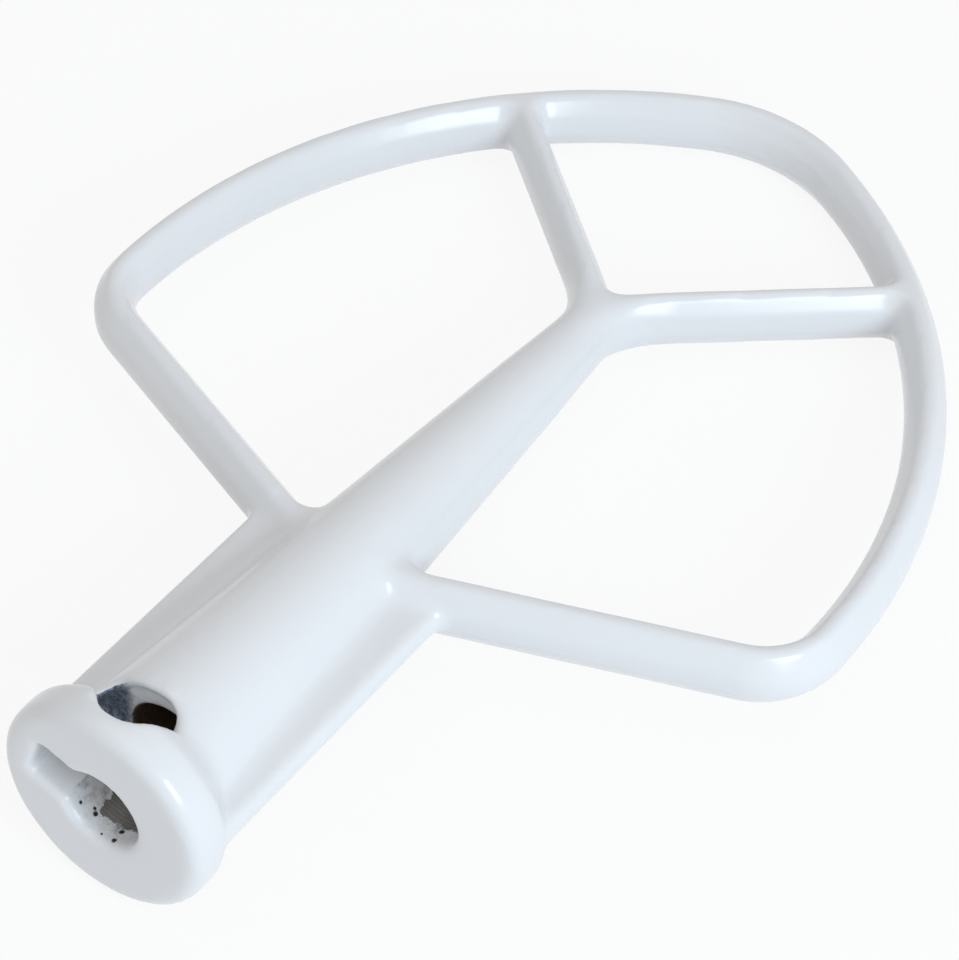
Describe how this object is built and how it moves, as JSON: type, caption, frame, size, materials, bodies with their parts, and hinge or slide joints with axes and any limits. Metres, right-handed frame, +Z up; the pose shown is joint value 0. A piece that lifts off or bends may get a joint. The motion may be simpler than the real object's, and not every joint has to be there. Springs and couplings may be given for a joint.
{
  "type": "stand mixer flat beater",
  "caption": "One-piece flat beater for a stand mixer: a rounded hoop on a forked tapered shaft, with a collar whose keyed bore locks onto the drive pin.",
  "frame": {"origin": "centre of the overall box, on the table that the beater lies on", "axes": "+Y along the shaft from the collar to the hoop's far end, +X across the hoop, +Z up; the shaft slopes down by about 4.0 degrees towards the hoop because the collar is thicker"},
  "size_m": [0.1376, 0.1864, 0.0357],
  "materials": {
    "white_coat": "glossy white baked coat over cast aluminium, bare metal inside the socket"
  },
  "bodies": {
    "root": {"flat_beater": "white_coat"}
  },
  "joints": []
}
